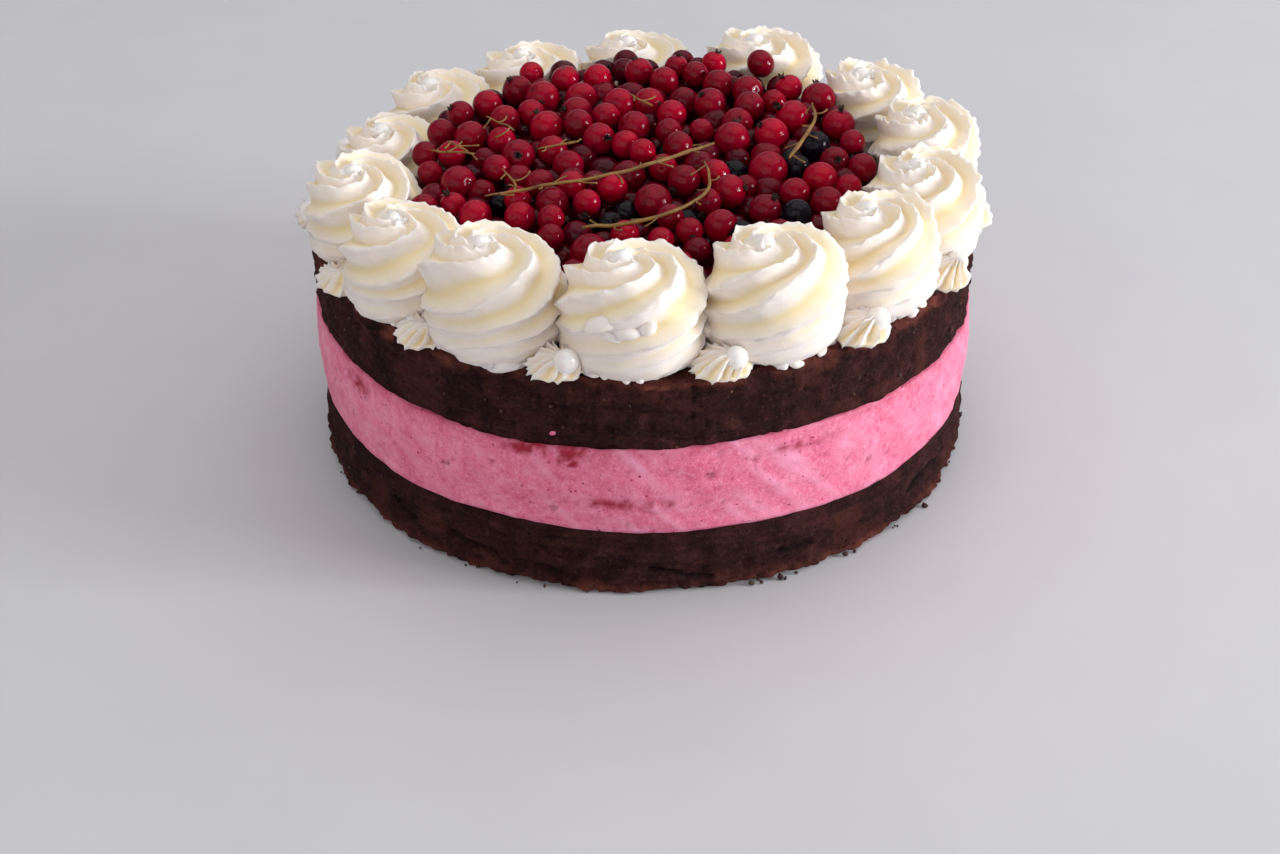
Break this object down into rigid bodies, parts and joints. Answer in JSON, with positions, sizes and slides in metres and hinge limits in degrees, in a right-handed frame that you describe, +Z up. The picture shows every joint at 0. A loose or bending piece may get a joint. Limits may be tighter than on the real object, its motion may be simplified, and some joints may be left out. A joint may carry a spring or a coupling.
{
  "type": "chocolate mousse cake",
  "caption": "Round chocolate layer cake with a pink fruit mousse filling, a ring of piped cream swirls topped with sugar pearls, and a heap of redcurrants inside the ring.",
  "frame": {"origin": "middle of the flat underside of the lower sponge", "axes": "+Z up from the underside to the cream and berries; -Y towards the front, as the picture shows it; +X to the right as seen from the front"},
  "size_m": [0.2087, 0.2066, 0.1027],
  "materials": {
    "sponge": "dull, crumbly dark chocolate sponge",
    "mousse": "soft matt pink fruit mousse with fine air bubbles",
    "cream": "soft satin piped cream, with sugar pearls pressed into it",
    "fruit": "glossy, slightly see-through red berries",
    "dark_fruit": "glossy blue-black berries",
    "pearls": "white sugar pearls with a pearly sheen",
    "stalks": "thin dry stalks, greenish brown",
    "calyxes": "small dried flower ends of the berries, dark brown",
    "crumbs": "loose dark sponge crumbs"
  },
  "bodies": {
    "root": {"sponge_base": "sponge", "mousse": "mousse", "sponge_top": "sponge", "swirl_01": "cream", "swirl_02": "cream", "swirl_03": "cream", "swirl_04": "cream", "swirl_05": "cream", "swirl_06": "cream", "swirl_07": "cream", "swirl_08": "cream", "swirl_09": "cream", "swirl_10": "cream", "swirl_11": "cream", "swirl_12": "cream", "swirl_13": "cream", "swirl_14": "cream", "star_01": "cream", "star_02": "cream", "star_03": "cream", "star_04": "cream", "star_05": "cream", "star_06": "cream", "star_07": "cream", "star_08": "cream", "star_09": "cream", "star_10": "cream", "star_11": "cream", "star_12": "cream", "star_13": "cream", "star_14": "cream", "redcurrants": "fruit"}
  },
  "joints": []
}
